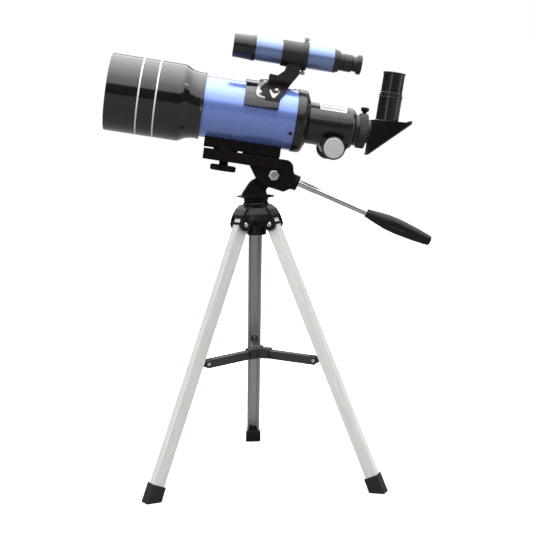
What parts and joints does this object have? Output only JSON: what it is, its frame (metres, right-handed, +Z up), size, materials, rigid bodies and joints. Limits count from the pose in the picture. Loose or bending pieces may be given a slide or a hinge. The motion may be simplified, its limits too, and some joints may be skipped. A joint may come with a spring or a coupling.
{
  "type": "telescope on tripod",
  "caption": "Small refracting telescope with finder and star diagonal on a pan and tilt head over a folding table tripod.",
  "frame": {"origin": "on the floor under the middle of the overall box, with the legs open and the tube raised at the front", "axes": "+Z up, -X towards the telescope front, +X towards the eyepiece, +Y towards the rear leg"},
  "size_m": [0.382, 0.2488, 0.5257],
  "materials": {
    "blue_enamel": "glossy metallic blue tube enamel",
    "gloss_black": "glossy moulded black",
    "satin_black": "satin moulded black",
    "satin_aluminium": "satin extruded",
    "rubber": "matte",
    "chrome": "polished plate",
    "zinc_steel": "zinc plated",
    "black_steel": "satin black enamel",
    "lens_glass": "coated and polished",
    "mirror": "front-surface mirror"
  },
  "bodies": {
    "tripod_head": {"crown": "gloss_black", "leg_pin_1": "zinc_steel", "leg_pin_2": "zinc_steel", "leg_pin_3": "zinc_steel"},
    "front_left_leg": {"leg_1": "satin_aluminium", "leg_foot_1": "rubber"},
    "front_right_leg": {"leg_2": "satin_aluminium", "leg_foot_2": "rubber"},
    "rear_leg": {"leg_3": "satin_aluminium", "leg_foot_3": "rubber"},
    "spreader_centre": {"spreader_hub": "black_steel"},
    "front_left_arm": {"spreader_arm_1": "black_steel"},
    "front_right_arm": {"spreader_arm_2": "black_steel"},
    "rear_arm": {"spreader_arm_3": "black_steel"},
    "front_left_bracket": {"leg_bracket_1": "black_steel"},
    "front_right_bracket": {"leg_bracket_2": "black_steel"},
    "rear_bracket": {"leg_bracket_3": "black_steel"},
    "pan_head": {"pan_base": "gloss_black", "pan_bolt": "zinc_steel", "pan_nut": "zinc_steel", "tilt_bolt": "zinc_steel"},
    "telescope": {"tilt_head": "gloss_black", "tube_foot": "gloss_black", "main_tube": "blue_enamel", "dew_shield": "gloss_black", "objective_cell": "satin_black", "objective_crown": "lens_glass", "objective_flint": "lens_glass", "objective_ring": "satin_black", "rear_cell": "gloss_black", "focuser_body": "gloss_black", "finder_base": "gloss_black", "finder_bracket": "satin_black", "finder_tube": "blue_enamel", "finder_objective_cell": "gloss_black", "finder_lens": "lens_glass", "finder_rear_ring": "satin_black"},
    "pan_handle": {"handle_rod": "chrome", "handle_grip": "gloss_black"},
    "platform_screw": {"camera_screw": "satin_black"},
    "focus_slide": {"drawtube": "satin_black", "drawtube_collar": "satin_black", "rack": "satin_black"},
    "focus_pinion": {"pinion_shaft": "zinc_steel", "focus_knob_near": "satin_black", "focus_knob_far": "satin_black"},
    "collar_screw": {"thumbscrew": "satin_black"},
    "star_diagonal": {"diagonal_housing": "gloss_black", "diagonal_nose": "chrome", "diagonal_mirror": "mirror", "diagonal_back": "gloss_black", "eyepiece_holder": "gloss_black"},
    "eyepiece": {"eyepiece_barrel": "chrome", "eyepiece_body": "gloss_black", "eye_lens": "lens_glass", "field_lens": "lens_glass"},
    "finder_focuser": {"finder_eyepiece": "satin_black"},
    "finder_top_screw": {"finder_screw_top": "zinc_steel"},
    "finder_far_screw": {"finder_screw_far": "zinc_steel"},
    "finder_low_screw": {"finder_screw_low": "zinc_steel"}
  },
  "joints": [
    {"name": "pan", "type": "hinge", "parent": "tripod_head", "child": "pan_head", "pos_m": [-0.01658, -0.03545, 0.335], "axis": [0, 0, 1], "continuous": true},
    {"name": "tilt", "type": "hinge", "parent": "pan_head", "child": "telescope", "pos_m": [0.00411, -0.03545, 0.3626], "axis": [0, 1, 0], "range_deg": [-18, 30]},
    {"name": "handle_twist", "type": "hinge", "parent": "telescope", "child": "pan_handle", "pos_m": [0.03436, -0.03545, 0.35266], "axis": [0.9073, 0, -0.4204], "range_deg": [-360, 0]},
    {"name": "platform_screw_turn", "type": "hinge", "parent": "telescope", "child": "platform_screw", "pos_m": [-0.05431, -0.03545, 0.37279], "axis": [0.1685, 0, 0.9857], "continuous": true},
    {"name": "front_left_leg_fold", "type": "hinge", "parent": "tripod_head", "child": "front_left_leg", "pos_m": [-0.03538, -0.04688, 0.3066], "axis": [0.5195, -0.8545, 0], "range_deg": [0, 20]},
    {"name": "front_right_leg_fold", "type": "hinge", "parent": "tripod_head", "child": "front_right_leg", "pos_m": [0.00272, -0.04602, 0.3066], "axis": [0.4802, 0.8771, 0], "range_deg": [0, 20]},
    {"name": "rear_leg_fold", "type": "hinge", "parent": "tripod_head", "child": "rear_leg", "pos_m": [-0.01708, -0.01346, 0.3066], "axis": [-0.9997, -0.0227, 0], "range_deg": [0, 20]},
    {"name": "spreader_rise", "type": "slide", "parent": "tripod_head", "child": "spreader_centre", "axis": [0, 0, 1], "range_m": [0, 0.05023]},
    {"name": "front_left_arm_turn", "type": "hinge", "parent": "spreader_centre", "child": "front_left_arm", "pos_m": [-0.02606, -0.04122, 0.1511], "axis": [0.5195, -0.8545, 0], "range_deg": [0, 83.67]},
    {"name": "front_right_arm_turn", "type": "hinge", "parent": "spreader_centre", "child": "front_right_arm", "pos_m": [-0.00684, -0.04078, 0.1511], "axis": [0.4802, 0.8771, 0], "range_deg": [0, 83.67]},
    {"name": "rear_arm_turn", "type": "hinge", "parent": "spreader_centre", "child": "rear_arm", "pos_m": [-0.01683, -0.02436, 0.1511], "axis": [-0.9997, -0.0227, 0], "range_deg": [0, 83.67]},
    {"name": "front_left_bracket_turn", "type": "hinge", "parent": "front_left_arm", "child": "front_left_bracket", "pos_m": [-0.0781, -0.07286, 0.148], "axis": [0.5195, -0.8545, 0], "range_deg": [-63.66, 0]},
    {"name": "front_right_bracket_turn", "type": "hinge", "parent": "front_right_arm", "child": "front_right_bracket", "pos_m": [0.04658, -0.07003, 0.148], "axis": [0.4802, 0.8771, 0], "range_deg": [-63.66, 0]},
    {"name": "rear_bracket_turn", "type": "hinge", "parent": "rear_arm", "child": "rear_bracket", "pos_m": [-0.01821, 0.03653, 0.148], "axis": [-0.9997, -0.0227, 0], "range_deg": [-63.66, 0]},
    {"name": "focus", "type": "slide", "parent": "telescope", "child": "focus_slide", "axis": [0.9857, 0, -0.1685], "range_m": [-0.0045, 0.045]},
    {"name": "focus_knob_turn", "type": "hinge", "parent": "telescope", "child": "focus_pinion", "pos_m": [0.07167, -0.03545, 0.39285], "axis": [0, 1, 0], "range_deg": [-64.6, 644.7]},
    {"name": "collar_screw_turn", "type": "hinge", "parent": "focus_slide", "child": "collar_screw", "pos_m": [0.11198, -0.03545, 0.43162], "axis": [0.1685, 0, 0.9857], "range_deg": [0, 720]},
    {"name": "diagonal_turn", "type": "hinge", "parent": "focus_slide", "child": "star_diagonal", "pos_m": [0.11156, -0.03545, 0.4114], "axis": [0.9857, 0, -0.1685], "continuous": true},
    {"name": "eyepiece_pull", "type": "slide", "parent": "star_diagonal", "child": "eyepiece", "axis": [0.1685, 0, 0.9857], "range_m": [0, 0.012]},
    {"name": "finder_focus", "type": "slide", "parent": "telescope", "child": "finder_focuser", "axis": [0.9857, 0, -0.1685], "range_m": [-0.003, 0.006]},
    {"name": "finder_top_screw_turn", "type": "hinge", "parent": "telescope", "child": "finder_top_screw", "pos_m": [0.04299, -0.03545, 0.4987], "axis": [0.1685, 0, 0.9857], "range_deg": [-180, 180]},
    {"name": "finder_far_screw_turn", "type": "hinge", "parent": "telescope", "child": "finder_far_screw", "pos_m": [0.04299, -0.03545, 0.4987], "axis": [0, 1, 0], "range_deg": [-180, 180]},
    {"name": "finder_low_screw_turn", "type": "hinge", "parent": "telescope", "child": "finder_low_screw", "pos_m": [0.04299, -0.03545, 0.4987], "axis": [-0.1685, 0, -0.9857], "range_deg": [-180, 180]}
  ],
  "couplings": [
    {"joint": "front_right_leg_fold", "follows": "front_left_leg_fold", "ratio": 1},
    {"joint": "rear_leg_fold", "follows": "front_left_leg_fold", "ratio": 1},
    {"joint": "spreader_rise", "follows": "front_left_leg_fold", "m_per_rad": 0.14391},
    {"joint": "front_left_arm_turn", "follows": "front_left_leg_fold", "ratio": 4.1832},
    {"joint": "front_left_bracket_turn", "follows": "front_left_leg_fold", "ratio": -3.1832},
    {"joint": "front_right_arm_turn", "follows": "front_left_leg_fold", "ratio": 4.1832},
    {"joint": "front_right_bracket_turn", "follows": "front_left_leg_fold", "ratio": -3.1832},
    {"joint": "rear_arm_turn", "follows": "front_left_leg_fold", "ratio": 4.1832},
    {"joint": "rear_bracket_turn", "follows": "front_left_leg_fold", "ratio": -3.1832},
    {"joint": "focus_knob_turn", "follows": "focus", "rad_per_m": 250}
  ]
}
